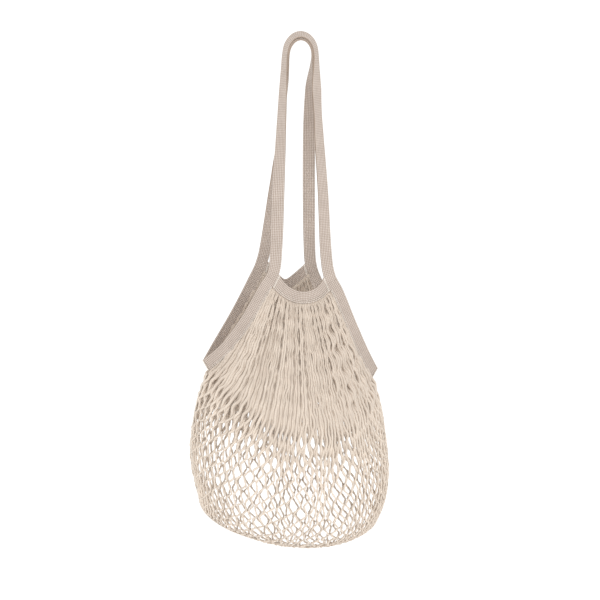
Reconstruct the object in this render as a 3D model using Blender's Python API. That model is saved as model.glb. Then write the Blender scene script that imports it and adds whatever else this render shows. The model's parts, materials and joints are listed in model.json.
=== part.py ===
"""Mesh produce bag, hanging open from its two long handles in its filled shape.

Frame: metres, +Z up. The origin is the hook point, under the middle of the handle arches. +X runs across
the bag and -Y is its front. The bag hangs plumb below the hook, and its load sits a little deeper on +X.
"""
import math

import bmesh
import bpy
from mathutils import Matrix, Vector

MM = 0.001

# Driving dimensions.
TAPE_WIDTH = 16 * MM            # knitted tape: handles, side bindings and rims
TAPE_THICKNESS = 2.0 * MM
NET_THICKNESS = 1.6 * MM        # the net's cord, as a plain skin
SEAM_RADIUS = 1.5 * MM          # overlocked side and bottom seams
STITCH_RADIUS = 0.45 * MM
JOIN_RADIUS = 0.675 * MM        # ridge where two side tapes are sewn together
GAP = 0.35 * MM                 # between pieces that touch
SEAM_GAP = 1.1 * MM             # from a net panel's edge to the middle plane, where the seam binds it

# The load sits unevenly: the bag hangs lower towards +X, more so at its foot, which also sways that way.
LEAN = 0.10                     # drop per metre towards +X
LEAN_FROM, LEAN_FULL = -100 * MM, -280 * MM
LOAD_LEAN = 0.07                # further drop per metre at the foot
LOAD_SWAY = 3 * MM
LOAD_FROM, LOAD_FULL = -430 * MM, -620 * MM

# Mouth. In front view the front rim is an arc and the back one is pulled into a rounded V.
RIM_CENTRE_Z = -284.3 * MM
# The front rim's edges: radius, and half angle to where the edge meets the handle tape.
FRONT_RIM = {
    "top": (33 * MM, math.radians(64)),
    "foot": (33 * MM + TAPE_WIDTH, math.radians(51)),
}
# The back rim's edges: half width, height of the middle, rise to the ends, roundness of the V.
BACK_RIM = {
    "top": (24.6 * MM, -315.4 * MM, 21.9 * MM, 4 * MM),
    "foot": (30 * MM, -332.4 * MM, 22.9 * MM, 8 * MM),
}
RIM_DEPTH_END = 32 * MM         # distance in front of or behind the middle plane
RIM_DEPTH_MIDDLE = 36 * MM
RIM_SAMPLES = 25
RIM_SEAM_SAMPLES = 6
RIM_STITCH_AT = 0.16            # height of the stitching on the band, as a share of its width

# Handles. The hinge is the line across the two places where a handle meets the bag.
HINGE_Z = -296 * MM
HINGE_DEPTH = 32 * MM
HANDLE_END_GAP = 0.4 * MM       # handle to hinge line
TAPE_END_GAP = 1.6 * MM         # hinge line to side tape
HALF_HANDLE_SAMPLES = 54
ARCH_DEGREES = (150, 120, 90, 60, 30)   # places on the arch that its curve runs through
STACK_GAP = 3.8 * MM            # between the two handles where one arches loosely over the other
ARCH_YAW = math.radians(-16)    # the arches are turned on the hook, right leg forward
ARCH_SHIFT = 1.5 * MM           # and have slid along it towards +X
YAW_FROM, YAW_FULL = -105 * MM, -25 * MM

# Leg points of a handle: height, distance from the middle in X and in Y (mm). The front handle lies
# over the back one at the top, so its arch is wider. The mouth's back corners stand closer together.
FRONT_LEG = [(-296, 38, 32), (-265, 33.5, 27.5), (-191, 30, 19.5), (-120, 25.5, 11), (-62, 21.5, 5.5),
             (-38, 20.4, 2.5), (-20, 19.6, 0.6)]
BACK_LEG = [(-296, 34.5, 32), (-265, 29.5, 27.5), (-191, 24, 19.5), (-120, 19.5, 11), (-62, 15.4, 5.5),
            (-38, 14.8, 2.5), (-20, 15.2, 0.6)]
# Turn of a leg's face from the front (0) to the side (90), against height. The left legs turn sooner.
RIGHT_TWIST = [(-296, 0), (-265, 2), (-191, 17), (-120, 27), (-62, 46), (-36, 80), (-22, 90), (10, 90)]
LEFT_TWIST = [(-296, 0), (-265, 4), (-191, 30), (-120, 58), (-62, 76), (-36, 87), (-22, 90), (10, 90)]

# Side opening: middle line of the tape that binds it, from the hinge to the lowest point (mm).
FRONT_SIDE_TAPE = [(38, 32, -296), (50.5, 32.5, -318.2), (72, 28.5, -361.3), (94.3, 18, -399.5),
                   (115.8, 0, -428.5)]
BACK_SIDE_TAPE = [(34.5, 32, -296), (44, 32.5, -318.2), (67, 28.5, -361.3), (92.5, 18, -399.5),
                  (115.8, 0, -428.5)]
SIDE_TAPE_SAMPLES = 22
SIDE_END_NORMAL = (0.39, 0.90, -0.195)
SIDE_STITCH_AT = 0.3            # from the tape's net edge towards its middle line
SIDE_STITCHES = slice(5, -2)    # the stitching starts below the rim and ends short of the join
JOIN_SAMPLES = 8

# Net. The side edge runs along the tape and then down the side seam to the bottom corner (mm).
SIDE_SEAM = [(113, -438), (126, -475), (133.5, -520), (134.5, -560), (124, -617)]
# Middle line in side view, below its top: distance from the middle plane and height (mm).
CENTRE_LINE = [(49, -370), (60, -400), (73, -440), (86, -490), (90, -540)]
NET_TOP_DEPTH = 36.5 * MM
RIM_TO_NET = 1.2 * MM           # from the rim's lower edge down to the net, at its middle
BOTTOM_Z = -669.5 * MM
NET_COLUMNS = 20
NET_ROWS = 22
NET_EDGE_WAY = Vector((-0.8, 0, -0.6))  # from a right side tape's edge to the net
RIM_CLEARANCE = 4 * MM          # height the net's edge takes to run from the rim to the tape
# Bulge of the net across its width, as a share of a half circle: at the rim, at its tightest and how
# far down the panel that is, and the stretch of the panel over which it fills out below.
SPREAD_TOP = FRONT_RIM["foot"][1] / (math.pi / 2)
SPREAD_LOW = 0.72
SPREAD_LOW_AT = 0.45
FILL_FROM, FILL_OVER = 0.40, 0.35
RIM_SHAPE_OVER = 0.15           # share of the panel over which it keeps the back rim's V

# Fineness.
SPAN_STEPS = 24                 # steps to a span of a smooth curve, before it is divided evenly
EDGE_SAMPLES = 60
BELLY_STEPS = 40
SIDE_SEAM_SAMPLES = 16
BOTTOM_SEAM_SAMPLES = 31
STITCH_SIDES = 4
CORD_SIDES = 6

COLOURS = {
    "net_cord": ((0.70, 0.61, 0.49), 0.9),
    "knit_tape": ((0.72, 0.63, 0.53), 0.9),
    "sewing_thread": ((0.80, 0.73, 0.63), 0.8),
}


def smooth_step(x):
    x = min(max(x, 0.0), 1.0)
    return x * x * (3 - 2 * x)


def settle(point):
    """Where a point of the evenly hung bag lies once the load has settled."""
    upper = smooth_step((LEAN_FROM - point.z) / (LEAN_FROM - LEAN_FULL))
    lower = smooth_step((LOAD_FROM - point.z) / (LOAD_FROM - LOAD_FULL))
    drop = (LEAN * upper + LOAD_LEAN * lower) * point.x
    return Vector((point.x + LOAD_SWAY * lower, point.y, point.z - drop))


def smooth_line(points):
    """A fine polyline on a smooth curve through points, SPAN_STEPS to a span."""
    ends = [points[0] * 2 - points[1]] + list(points) + [points[-1] * 2 - points[-2]]
    fine = []
    for a, b, c, d in zip(ends, ends[1:], ends[2:], ends[3:]):
        for step in range(SPAN_STEPS):
            u = step / SPAN_STEPS
            fine.append(0.5 * (2 * b + (c - a) * u + (2 * a - 5 * b + 4 * c - d) * u * u
                               + (3 * b - a - 3 * c + d) * u ** 3))
    fine.append(points[-1].copy())
    return fine


def through(points, count):
    return evenly(smooth_line(points), count)


def evenly(line, count):
    """count points evenly spaced along a fine polyline."""
    lengths = [0.0]
    for a, b in zip(line, line[1:]):
        lengths.append(lengths[-1] + (b - a).length)
    spots, k = [], 0
    for i in range(count):
        want = lengths[-1] * i / (count - 1)
        while k < len(line) - 2 and lengths[k + 1] < want:
            k += 1
        run = lengths[k + 1] - lengths[k]
        spots.append(line[k].lerp(line[k + 1], (want - lengths[k]) / run if run else 0.0))
    return spots


def table_value(table, x):
    """Straight-line value of a table of (x, value) rows, x rising."""
    for (x0, y0), (x1, y1) in zip(table, table[1:]):
        if x <= x1:
            return y0 + (y1 - y0) * max(0.0, (x - x0) / (x1 - x0))
    return table[-1][1]


def tangents(line):
    found = []
    for i in range(len(line)):
        a = line[max(i - 1, 0)]
        b = line[min(i + 1, len(line) - 1)]
        found.append((b - a).normalized())
    return found


def make_object(name, verts, faces, slot):
    mesh = bpy.data.meshes.new(name)
    mesh.from_pydata([tuple(v) for v in verts], [], faces)
    work = bmesh.new()
    work.from_mesh(mesh)
    bmesh.ops.recalc_face_normals(work, faces=work.faces)
    work.to_mesh(mesh)
    work.free()
    mesh.materials.append(material(slot))
    thing = bpy.data.objects.new(name, mesh)
    bpy.context.collection.objects.link(thing)
    return thing


def material(slot):
    found = bpy.data.materials.get(slot)
    if found:
        return found
    colour, roughness = COLOURS[slot]
    made = bpy.data.materials.new(slot)
    made.use_nodes = True
    shader = made.node_tree.nodes["Principled BSDF"]
    shader.inputs["Base Color"].default_value = (*colour, 1.0)
    shader.inputs["Roughness"].default_value = roughness
    shader.inputs["Metallic"].default_value = 0.0
    return made


def cut_level(ring, run, height, slope=0.0):
    """The ring slid along its tape onto the plane at this height, which may slope down towards +X."""
    moved = []
    for point in ring:
        rise = height - (point.z + slope * point.x)
        moved.append(point + run * (rise / (run.z + slope * run.x)))
    return moved


def swept(name, rings, slot):
    """A closed body through rings of the same number of points, capped at both ends."""
    size = len(rings[0])
    verts = [point for ring in rings for point in ring]
    faces = []
    for i in range(len(rings) - 1):
        for j in range(size):
            a, b = i * size + j, i * size + (j + 1) % size
            faces.append((a, b, b + size, a + size))
    last = len(verts) - size
    faces.append(tuple(range(size)))
    faces.append(tuple(range(last, last + size)))
    return make_object(name, verts, faces, slot)


def across(tangent, normal):
    """The tape's width direction, square to its run and to its face."""
    return tangent.cross(normal).normalized()


def tape_rings(line, normals, runs=None):
    """Four-cornered sections of a flat tape along its middle line."""
    rings = []
    for point, normal, run in zip(line, normals, runs or tangents(line)):
        flat = (normal - run * normal.dot(run)).normalized()
        half_width = across(run, flat) * TAPE_WIDTH / 2
        half_depth = flat * TAPE_THICKNESS / 2
        rings.append([point + half_width + half_depth, point - half_width + half_depth,
                      point - half_width - half_depth, point + half_width - half_depth])
    return rings


def bead(name, line, radius, sides):
    """A cord of seam or stitching along a line."""
    rings = []
    side = None
    for point, run in zip(line, tangents(line)):
        side = (side or run.orthogonal()).copy()
        side = (side - run * side.dot(run)).normalized()
        other = run.cross(side)
        turns = [2 * math.pi * k / sides for k in range(sides)]
        rings.append([point + (side * math.cos(a) + other * math.sin(a)) * radius for a in turns])
    return swept(name, rings, "sewing_thread")


# --- the mouth -------------------------------------------------------------------------------------------

def v_sag(share, half_width, roundness):
    """Depth of a rounded V at a share of its half width: 1 at its middle and 0 at its ends."""
    climb = math.hypot(share * half_width, roundness) - roundness
    return 1 - climb / (math.hypot(half_width, roundness) - roundness)


def rim_point(face, share, edge):
    """A point of a rim's edge, share from -1 (left) to 1 (right); face is -1 for the front, 1 for the back."""
    if face < 0:
        radius, end = FRONT_RIM[edge]
        x = radius * math.sin(share * end)
        z = RIM_CENTRE_Z - radius * math.cos(share * end)
        sag = (math.cos(share * end) - math.cos(end)) / (1 - math.cos(end))
    else:
        half_width, middle, rise, roundness = BACK_RIM[edge]
        sag = v_sag(share, half_width, roundness)
        x = share * half_width
        z = middle + rise * (1 - sag)
    depth = RIM_DEPTH_END + (RIM_DEPTH_MIDDLE - RIM_DEPTH_END) * sag
    return Vector((x, face * depth, z))


def rim_band(face, word):
    rings, stitches = [], []
    out = Vector((0, face, 0)) * TAPE_THICKNESS / 2
    lift = Vector((0, face, 0)) * (STITCH_RADIUS + GAP)
    for i in range(RIM_SAMPLES):
        share = 2 * i / (RIM_SAMPLES - 1) - 1
        top = rim_point(face, share, "top")
        foot = rim_point(face, share, "foot")
        rings.append([settle(p) for p in (top + out, foot + out, foot - out, top - out)])
        stitches.append(settle(foot.lerp(top, RIM_STITCH_AT) + out + lift))
    swept(f"{word}_rim_band", rings, "knit_tape")
    # The end seams sit just inside the band's ends, clear of the handle as it swings down.
    for hand, ring in (("left", rings[1]), ("right", rings[-2])):
        seam = evenly([ring[0] + lift, ring[1] + lift], RIM_SEAM_SAMPLES)
        bead(f"rim_seam_{word}_{hand}", seam[:-1], STITCH_RADIUS, STITCH_SIDES)
    bead(f"{word}_rim_stitching", stitches[2:-2], STITCH_RADIUS, STITCH_SIDES)


# --- side openings ---------------------------------------------------------------------------------------

def side_tape_line(face, side):
    """Middle line of one side tape and the normals of its face."""
    route = FRONT_SIDE_TAPE if face < 0 else BACK_SIDE_TAPE
    spots = [Vector((side * x, face * y, z)) * MM for x, y, z in route]
    line = through(spots, SIDE_TAPE_SAMPLES)
    end = Vector((side * SIDE_END_NORMAL[0], face * SIDE_END_NORMAL[1], SIDE_END_NORMAL[2]))
    front = Vector((0, face, 0))
    normals = [front.lerp(end, i / (len(line) - 1)).normalized() for i in range(len(line))]
    return line, normals


def side_tape_edges(face, side):
    """Rings of a side tape, cut along the hinge line and mitred on the middle plane."""
    line, normals = side_tape_line(face, side)
    rings = tape_rings(line, normals)
    runs = tangents(line)
    rings[0] = cut_level(rings[0], runs[0], HINGE_Z - TAPE_END_GAP)
    stop = face * GAP / 2
    rings[-1] = [point + runs[-1] * ((stop - point.y) / runs[-1].y) for point in rings[-1]]
    return rings


def inner_edge(face, side):
    """The tape's edge on the net side, in the middle of its thickness."""
    edge = []
    for ring in side_tape_edges(face, side):
        pairs = ((ring[0] + ring[3]) / 2, (ring[1] + ring[2]) / 2)
        edge.append(min(pairs, key=lambda p: p.z + abs(p.x)))
    return edge


def side_tape(face, side, name):
    rings = side_tape_edges(face, side)
    swept(name, [[settle(p) for p in ring] for ring in rings], "knit_tape")
    line, normals = side_tape_line(face, side)
    edge = inner_edge(face, side)
    lift = TAPE_THICKNESS / 2 + STITCH_RADIUS + GAP
    stitches = [e.lerp(p, SIDE_STITCH_AT) + n * lift for e, p, n in zip(edge, line, normals)]
    bead(f"{name}_stitching", [settle(p) for p in stitches[SIDE_STITCHES]], STITCH_RADIUS, STITCH_SIDES)


def tape_join(side, hand):
    """The stitched ridge where the front and back side tapes meet at the opening's lowest point."""
    outer = []
    ends = [sorted(side_tape_edges(face, side)[-1][:2], key=lambda p: p.z) for face in (-1, 1)]
    for front, back in zip(*ends):
        outer.append(settle((front + back) / 2 + Vector((side, 0, 0)) * (STITCH_RADIUS * 2 + GAP)))
    bead(f"tape_join_{hand}", evenly(outer, JOIN_SAMPLES)[1:-1], JOIN_RADIUS, CORD_SIDES)


# --- handles ---------------------------------------------------------------------------------------------

def arch_turn(z):
    """The arches' turn on the hook and their shift at a height, as a matrix."""
    share = smooth_step((z - YAW_FROM) / (YAW_FULL - YAW_FROM))
    return Matrix.Translation((ARCH_SHIFT * share, 0, 0)) @ Matrix.Rotation(ARCH_YAW * share, 4, "Z")


def handle_line(face, leg):
    """Middle line of a handle from its left foot over the arch to its right foot."""
    left = [Vector((-x, face * y, z)) * MM for z, x, y in leg]
    right = [Vector((x, face * y, z)) * MM for z, x, y in reversed(leg)]
    radius = leg[-1][1] * MM
    lift = TAPE_THICKNESS / 2 + (TAPE_THICKNESS + STACK_GAP if leg is FRONT_LEG else 0.0)
    height = lift - leg[-1][0] * MM
    arch = []
    for degrees in ARCH_DEGREES:
        angle = math.radians(degrees)
        arch.append(Vector((radius * math.cos(angle), 0, lift - height * (1 - math.sin(angle)))))
    fine = smooth_line([arch_turn(p.z) @ settle(p) for p in left + arch + right])
    top = (len(left) + len(arch) // 2) * SPAN_STEPS
    # Every second point from each foot, so that a flat facet, not an edge, lies across the top.
    rising = evenly(fine[:top + 1], 2 * HALF_HANDLE_SAMPLES)[::2]
    falling = evenly(fine[:top - 1:-1], 2 * HALF_HANDLE_SAMPLES)[::2]
    return rising + falling[::-1]


def handle(face, leg, name):
    line = handle_line(face, leg)
    runs = tangents(line)
    normals = []
    for point, run in zip(line, runs):
        twist = LEFT_TWIST if point.x < 0 else RIGHT_TWIST
        angle = math.radians(table_value(twist, point.z / MM))
        turn = arch_turn(point.z).to_3x3()
        outward = run.cross(turn @ Vector((0, 1, 0))).normalized()
        normals.append(turn @ Vector((0, face, 0)) * math.cos(angle) + outward * math.sin(angle))
    rings = tape_rings(line, normals, runs)
    for end in (0, -1):
        rings[end] = cut_level(rings[end], runs[end], HINGE_Z + HANDLE_END_GAP, LEAN)
    thing = swept(name, rings, "knit_tape")
    hinge = Vector((0, face * HINGE_DEPTH, HINGE_Z))
    thing.data.transform(Matrix.Translation(-hinge))
    thing.location = hinge
    return thing


# --- net -------------------------------------------------------------------------------------------------

def net_side_line(face, side, count):
    """The net's side edge, along the tape and then down the side seam."""
    way = Vector((side * NET_EDGE_WAY.x, 0, NET_EDGE_WAY.z))
    start = rim_point(face, side, "foot") - Vector((0, 0, GAP))
    edge = [point + way * (GAP + NET_THICKNESS / 2) for point in inner_edge(face, side)]
    upper = [start] + [p for p in edge if p.z < start.z - RIM_CLEARANCE]
    lower = [Vector((side * x * MM, face * SEAM_GAP, z * MM)) for x, z in SIDE_SEAM]
    return evenly(evenly(upper, EDGE_SAMPLES) + through(lower, EDGE_SAMPLES), count)


def net_centre_line(face, count):
    """The net's middle line, from the rim over the belly to the bottom seam."""
    top = Vector((0, face * NET_TOP_DEPTH, rim_point(face, 0, "foot").z - RIM_TO_NET))
    upper = through([top] + [Vector((0, face * y, z)) * MM for y, z in CENTRE_LINE], EDGE_SAMPLES)
    belly = upper[-1]
    under = []
    for i in range(1, BELLY_STEPS + 1):
        angle = math.pi / 2 * i / BELLY_STEPS
        y = belly.y * math.cos(angle) + face * SEAM_GAP * math.sin(angle)
        under.append(Vector((0, y, belly.z + (BOTTOM_Z - belly.z) * math.sin(angle))))
    return evenly(upper + under, count)


def net_bulge(face, v, t):
    """Share of the way from the side edge to the middle line, across and outward, at t of a row."""
    spread = SPREAD_TOP + (SPREAD_LOW - SPREAD_TOP) * smooth_step(v / SPREAD_LOW_AT)
    spread += (1 - spread) * smooth_step((v - FILL_FROM) / FILL_OVER)
    half = spread * math.pi / 2
    reach = abs(math.sin(half * t) / math.sin(half))
    fullness = (math.cos(half * t) - math.cos(half)) / (1 - math.cos(half))
    if face > 0:
        half_width, _, _, roundness = BACK_RIM["foot"]
        sag = v_sag(reach, half_width, roundness)
        fullness = sag + (fullness - sag) * smooth_step(v / RIM_SHAPE_OVER)
    return reach, fullness


def net_grid(face):
    """Rows of points over one net panel, from the rim down to the bottom seam."""
    left = net_side_line(face, -1, NET_ROWS + 1)
    right = net_side_line(face, 1, NET_ROWS + 1)
    middle = net_centre_line(face, NET_ROWS + 1)
    grid = []
    for row in range(NET_ROWS + 1):
        line = []
        for column in range(NET_COLUMNS + 1):
            t = 2 * column / NET_COLUMNS - 1
            side = right[row] if t > 0 else left[row]
            reach, fullness = net_bulge(face, row / NET_ROWS, t)
            line.append(settle(Vector((side.x * reach,
                                     side.y + (middle[row].y - side.y) * fullness,
                                     side.z + (middle[row].z - side.z) * fullness))))
        grid.append(line)
    return grid


def net_panel(face, word):
    grid = net_grid(face)
    width = NET_COLUMNS + 1
    verts = [point for line in grid for point in line]
    faces = []
    for i in range(NET_ROWS):
        for j in range(NET_COLUMNS):
            a = i * width + j
            quad = (a, a + 1, a + width + 1, a + width)
            faces.append(quad if face < 0 else quad[::-1])
    mesh = bpy.data.meshes.new(f"net_{word}")
    mesh.from_pydata([tuple(v) for v in verts], [], faces)
    mesh.materials.append(material("net_cord"))
    thing = bpy.data.objects.new(f"net_{word}", mesh)
    bpy.context.collection.objects.link(thing)
    skin = thing.modifiers.new("skin", "SOLIDIFY")
    skin.thickness = NET_THICKNESS
    skin.offset = 0.0
    skin.use_even_offset = True
    return grid


def seams(front, back):
    """Overlocked seams where the two panels meet, just outside their edges."""
    reach = NET_THICKNESS / 2 + SEAM_RADIUS + 2 * GAP
    for word, column, side in (("left", 0, -1), ("right", NET_COLUMNS, 1)):
        line = [(a[column] + b[column]) / 2 for a, b in zip(front, back)]
        middle_plane = [p for p, a in zip(line, front) if abs(a[column].y) < SEAM_RADIUS]
        run = tangents(middle_plane)
        out = [p + r.cross(Vector((0, -side, 0))) * reach for p, r in zip(middle_plane, run)]
        bead(f"side_seam_{word}", evenly(out, SIDE_SEAM_SAMPLES), SEAM_RADIUS, CORD_SIDES)
    line = [(a + b) / 2 for a, b in zip(front[-1], back[-1])]
    out = [p + r.cross(Vector((0, 1, 0))) * -reach for p, r in zip(line, tangents(line))]
    bead("bottom_seam", evenly(out, BOTTOM_SEAM_SAMPLES), SEAM_RADIUS, CORD_SIDES)


# --- build -----------------------------------------------------------------------------------------------

def clear_scene():
    for thing in list(bpy.data.objects):
        bpy.data.objects.remove(thing, do_unlink=True)


def main():
    clear_scene()
    for face, word in ((-1, "front"), (1, "back")):
        rim_band(face, word)
        for side, hand in ((-1, "left"), (1, "right")):
            side_tape(face, side, f"side_tape_{word}_{hand}")
    for side, hand in ((-1, "left"), (1, "right")):
        tape_join(side, hand)
    handle(-1, FRONT_LEG, "front_handle")
    handle(1, BACK_LEG, "back_handle")
    seams(net_panel(-1, "front"), net_panel(1, "back"))


main()
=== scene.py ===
"""Looks of the mesh produce bag: a knotless diamond net on knitted cotton tape, hanging filled and open.

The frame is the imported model: metres, +Z up, the hook point at the origin, -Y the front.
"""
import json
import math

import bpy
import numpy as np
from mathutils import Matrix, Vector


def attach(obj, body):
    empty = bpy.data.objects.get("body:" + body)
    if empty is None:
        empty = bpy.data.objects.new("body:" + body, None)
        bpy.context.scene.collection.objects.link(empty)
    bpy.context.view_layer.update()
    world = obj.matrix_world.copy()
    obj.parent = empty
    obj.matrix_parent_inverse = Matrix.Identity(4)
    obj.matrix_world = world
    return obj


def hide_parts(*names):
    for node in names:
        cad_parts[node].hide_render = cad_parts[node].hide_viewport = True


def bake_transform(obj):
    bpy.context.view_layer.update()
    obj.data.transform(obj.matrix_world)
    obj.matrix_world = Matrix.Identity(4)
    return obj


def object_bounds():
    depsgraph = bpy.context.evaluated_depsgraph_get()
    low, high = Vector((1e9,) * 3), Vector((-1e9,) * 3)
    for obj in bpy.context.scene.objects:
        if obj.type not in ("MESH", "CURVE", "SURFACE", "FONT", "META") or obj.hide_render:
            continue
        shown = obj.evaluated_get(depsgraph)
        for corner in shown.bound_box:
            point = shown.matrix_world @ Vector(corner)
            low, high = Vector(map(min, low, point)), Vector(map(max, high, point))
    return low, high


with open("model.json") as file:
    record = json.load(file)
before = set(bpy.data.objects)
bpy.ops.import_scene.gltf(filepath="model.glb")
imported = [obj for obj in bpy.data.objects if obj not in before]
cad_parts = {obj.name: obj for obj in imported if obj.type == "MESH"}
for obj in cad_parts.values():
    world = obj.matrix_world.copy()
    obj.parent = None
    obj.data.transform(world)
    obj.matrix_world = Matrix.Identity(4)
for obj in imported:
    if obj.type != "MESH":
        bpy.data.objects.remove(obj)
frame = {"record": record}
cad_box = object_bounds()

MM = 0.001
PLUS_Y = np.array([0.0, 1.0, 0.0])

# Sizes shared with the CAD model.
TAPE_WIDTH = 16 * MM
SEAM_GAP = 1.1 * MM
LEAN = 0.10                     # drop per metre towards +X
LEAN_FROM, LEAN_FULL = -100 * MM, -280 * MM
LOAD_LEAN = 0.07                # further drop per metre at the foot
LOAD_SWAY = 3 * MM
LOAD_FROM, LOAD_FULL = -430 * MM, -620 * MM
RIM_CENTRE_Z = -284.3 * MM
# The front rim's edges: radius, and half angle to where the edge meets the handle tape.
FRONT_RIM = {
    "top": (33 * MM, math.radians(64)),
    "foot": (33 * MM + TAPE_WIDTH, math.radians(51)),
}
# The back rim's edges: half width, height of the middle, rise to the ends, roundness of the V.
BACK_RIM = {
    "top": (24.6 * MM, -315.4 * MM, 21.9 * MM, 4 * MM),
    "foot": (30 * MM, -332.4 * MM, 22.9 * MM, 8 * MM),
}
RIM_DEPTH_END = 32 * MM
RIM_DEPTH_MIDDLE = 36 * MM
ARCH_LIFT = {-1: 6.8, 1: 1.0}   # middle of the tape above the hook point, front handle over back (mm)
ARCH_YAW = math.radians(-16)    # the arches are turned on the hook, right leg forward
ARCH_SHIFT = 1.5 * MM           # and have slid along it towards +X
YAW_FROM, YAW_FULL = -105 * MM, -25 * MM
ARCH_FACES_FRONT = {-1: 22, 1: 0}   # turn of the tape's face back to the front over the arch (degrees)
# Leg points of a handle by face: height, distance from the middle in X and in Y (mm).
LEG = {
    -1: [(-296, 38, 32), (-265, 33.5, 27.5), (-191, 30, 19.5), (-120, 25.5, 11), (-62, 21.5, 5.5),
         (-38, 20.4, 2.5), (-20, 19.6, 0.6)],
    1: [(-296, 34.5, 32), (-265, 29.5, 27.5), (-191, 24, 19.5), (-120, 19.5, 11), (-62, 15.4, 5.5),
        (-38, 14.8, 2.5), (-20, 15.2, 0.6)],
}
# Turn of a leg's face from the front (0) to the side (90), against height, by side.
TWIST = {
    1: [(-296, 0), (-265, 2), (-191, 17), (-120, 27), (-62, 46), (-36, 80), (-22, 90), (10, 90)],
    -1: [(-296, 0), (-265, 4), (-191, 30), (-120, 58), (-62, 76), (-36, 87), (-22, 90), (10, 90)],
}
# Middle line of a side tape below the hinge, by face (mm).
SIDE_TAPE = {
    -1: [(50.5, 32.5, -318.2), (72, 28.5, -361.3), (94.3, 18, -399.5), (115.8, 0, -428.5)],
    1: [(44, 32.5, -318.2), (67, 28.5, -361.3), (92.5, 18, -399.5), (115.8, 0, -428.5)],
}
SIDE_END_NORMAL = (0.39, 0.90, -0.195)      # of the side tape's face at its low end
# Side seam as (x, z) and the front of the belly as (depth, z), from the top down (mm).
SIDE_SEAM = [(113, -438), (126, -475), (133.5, -520), (134.5, -560), (124, -617)]
CENTRE_LINE = [(49, -370), (60, -400), (73, -440), (86, -490), (90, -540)]
NET_TOP_DEPTH = 36.5 * MM
RIM_TO_NET = 1.2 * MM
BOTTOM_Z = -669.5 * MM
NET_EDGE_WAY = (-0.8, 0.0, -0.6)            # from the side tape's edge to the net, on the right side
EDGE_TO_NET = 1.15 * MM
NET_UNDER_RIM = 0.35 * MM
RIM_CLEARANCE = 4 * MM
# How round the panel is in plan, as a share of a half circle, from the rim down to the belly.
SPREAD_TOP = FRONT_RIM["foot"][1] / (math.pi / 2)
SPREAD_LOW, SPREAD_LOW_AT = 0.72, 0.45
FILL_FROM, FILL_OVER = 0.40, 0.35
RIM_SHAPE_OVER = 0.15

CURVE_STEPS = 24                # points on a smooth curve for each span of its given points
ARCH_TURNS = (150, 120, 90, 60, 30)         # places on the arch of a handle (degrees)
SIDE_SAMPLES = 60               # points on each half of a panel's side line
PANEL_SAMPLES = 400             # points on its full height
BELLY_SAMPLES = 41              # points on its middle line from the belly to the bottom seam
CUT_SAMPLES = 80                # points each way, where a panel is measured

# Knitted tape.
COURSE = 2.2 * MM               # a stitch, along the tape
WALE = TAPE_WIDTH / 7           # a rib, across it
TAPE_HALF_THICKNESS = 0.95 * MM
EDGE_ROLL = 0.4 * MM            # the edges roll over and are thicker
EDGE_SHARE = 0.13               # of the half width, where the edge rounds off
KNIT_DEPTH = 0.55 * MM
KNIT_MIDDLE = 0.6               # stitch height that lies level with the tape's surface
TAPE_SLACK = 0.16 * MM          # small waves along the tape
TAPE_STEP = 0.5 * MM
HANDLE_STEP = 0.62 * MM
TAPE_COLUMNS = 35
RIM_ROWS = 180
RIM_OVERRUN = 1.045             # a rim's ends run this far under the side tapes, in half widths
SEAM_ROW = 5                    # row of the rim, from either end, that the end seam lies on
TAPE_END_GAP = 0.15 * MM        # from the side tapes' ends to the middle plane between them
BLEND_BELOW = 8 * MM            # the handle tape bends from here

# Sewing thread.
STITCH, STITCH_SPACE, STITCH_RADIUS = 2.3 * MM, 0.8 * MM, 0.32 * MM
STITCH_ARCH, STITCH_SINK = 1.5, 0.35        # height of a stitch in radii, and share of it inside the tape
STITCH_SAMPLES = 7              # points on each stitch
STITCH_LIFT = 0.25 * MM         # of a stitching line over the tape's surface
RIM_STITCH_SHARES = (0.10, 0.24)            # stitching lines, from the rim's foot to its top
SIDE_STITCH_SHARES = (0.90, 0.72)           # and on a side tape, from its middle to its net edge
SEAM_BESIDE = 0.6 * MM          # the two ridges of a rim's end seam lie this far beside its middle
SEAM_RADIUS, SEAM_WAVE, SEAM_WAVES = 0.45 * MM, 0.12 * MM, 7
CORE_RADIUS = 0.85 * MM         # of an overlocked edge, under its thread
COIL_RADIUS, COIL_THREAD, COIL_PITCH = 1.0 * MM, 0.32 * MM, 1.9 * MM
COIL_SAMPLES = 10               # points on each turn of the thread
SEAM_OUT = 1.0 * MM             # from the panels' edges out to the middle of the overlocked edge
JOIN_LIFT, JOIN_RADIUS = 0.9 * MM, 0.75 * MM    # the ridge where two side tapes meet
JOIN_REACH = 0.46               # its half length, in tape widths
BARS, BAR_SAMPLES = 7, 7        # bars of thread across the ridge, and points on each
BAR_LIFT, BAR_HALF, BAR_DIP, BAR_RADIUS = 1.2 * MM, 2.0 * MM, 0.8 * MM, 0.38 * MM

# Net.
CELLS = 24                      # diamonds across a panel
HALF_ROWS = 30                  # rows of half diamonds from the rim to the bottom seam
SPAN_SAMPLES = 5                # points on a strand in each half row
PLY_SIDES = 6
STRAND_RADIUS = 1.55 * MM       # where the net is stretched by the load
SLACK_COVER = 1.30              # share of the panel that its strands cover where it hangs slack
SLACK_TO, OPEN_FROM = 0.36, 0.64    # shares of the panel's height: all slack above, all stretched below
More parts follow.
